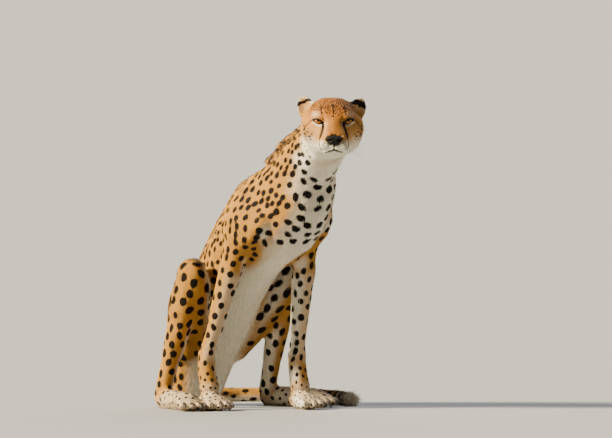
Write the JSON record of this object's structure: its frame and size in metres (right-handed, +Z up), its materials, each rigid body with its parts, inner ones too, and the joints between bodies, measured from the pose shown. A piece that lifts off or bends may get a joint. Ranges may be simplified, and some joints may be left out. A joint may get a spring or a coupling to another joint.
{
  "type": "cheetah",
  "caption": "Life-size cheetah sitting on its haunches, leaning forward on straight forelegs, its head turned to its right and its tail curled beside it on the floor.",
  "frame": {"origin": "on the floor, under the middle of the bounding box", "axes": "+X is the way the trunk faces, +Y the animal's left, +Z up"},
  "size_m": [0.9028, 0.587, 0.7775],
  "materials": {
    "coat": "short tawny fur with near-black spots, white on throat, chest and belly",
    "eye": "clear gloss over an amber iris and a round black pupil",
    "nose": "fine-grained, slightly moist black skin",
    "claw": "dark worn horn"
  },
  "bodies": {
    "root": {"head": "coat", "neck": "coat", "chest": "coat", "belly": "coat", "rump": "coat", "tail_root": "coat", "tail_middle": "coat", "tail_tip": "coat", "ear_left": "coat", "ear_right": "coat", "foreleg_upper_left": "coat", "foreleg_lower_left": "coat", "paw_fore_left": "coat", "foreleg_upper_right": "coat", "foreleg_lower_right": "coat", "paw_fore_right": "coat", "hindleg_upper_left": "coat", "hindleg_lower_left": "coat", "foot_hind_left": "coat", "hindleg_upper_right": "coat", "hindleg_lower_right": "coat", "foot_hind_right": "coat", "eye_left": "eye", "eye_right": "eye", "nose": "nose", "claw_fore_left_1": "claw", "claw_fore_left_2": "claw", "claw_fore_left_3": "claw", "claw_fore_left_4": "claw", "claw_fore_right_1": "claw", "claw_fore_right_2": "claw", "claw_fore_right_3": "claw", "claw_fore_right_4": "claw", "claw_hind_left_1": "claw", "claw_hind_left_2": "claw", "claw_hind_left_3": "claw", "claw_hind_left_4": "claw", "claw_hind_right_1": "claw", "claw_hind_right_2": "claw", "claw_hind_right_3": "claw", "claw_hind_right_4": "claw"}
  },
  "joints": []
}
